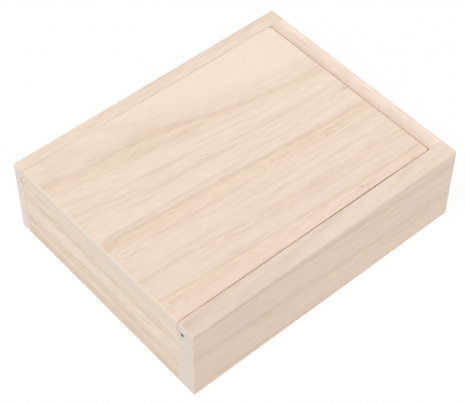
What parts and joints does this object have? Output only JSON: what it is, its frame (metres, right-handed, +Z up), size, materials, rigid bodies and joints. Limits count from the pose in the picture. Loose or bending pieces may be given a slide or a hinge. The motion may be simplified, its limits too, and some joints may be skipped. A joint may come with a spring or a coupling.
{
  "type": "playing card box",
  "caption": "Unfinished pale wooden box for one pack of playing cards, with butt-jointed walls, an inset base and a flush lid that slides out of grooves at one end.",
  "frame": {"origin": "on the surface the box stands on, under the middle of its outline", "axes": "+X along the slide, from the open near end to the closed far end; +Y across the box, from the front side wall to the back one; +Z up"},
  "size_m": [0.11, 0.088, 0.0304],
  "materials": {
    "side_walls": "pale paulownia, sanded, unfinished",
    "end_walls": "pale paulownia, sanded, unfinished",
    "base": "thin plywood, sanded, unfinished",
    "lid": "pale paulownia, sanded, unfinished"
  },
  "bodies": {
    "box": {"side_wall_front": "side_walls", "side_wall_back": "side_walls", "end_wall_far": "end_walls", "end_wall_near": "end_walls", "base_panel": "base"},
    "lid": {"lid": "lid"}
  },
  "joints": [
    {"name": "lid_slide", "type": "slide", "parent": "box", "child": "lid", "axis": [-1, 0, 0], "range_m": [0, 0.11]}
  ]
}
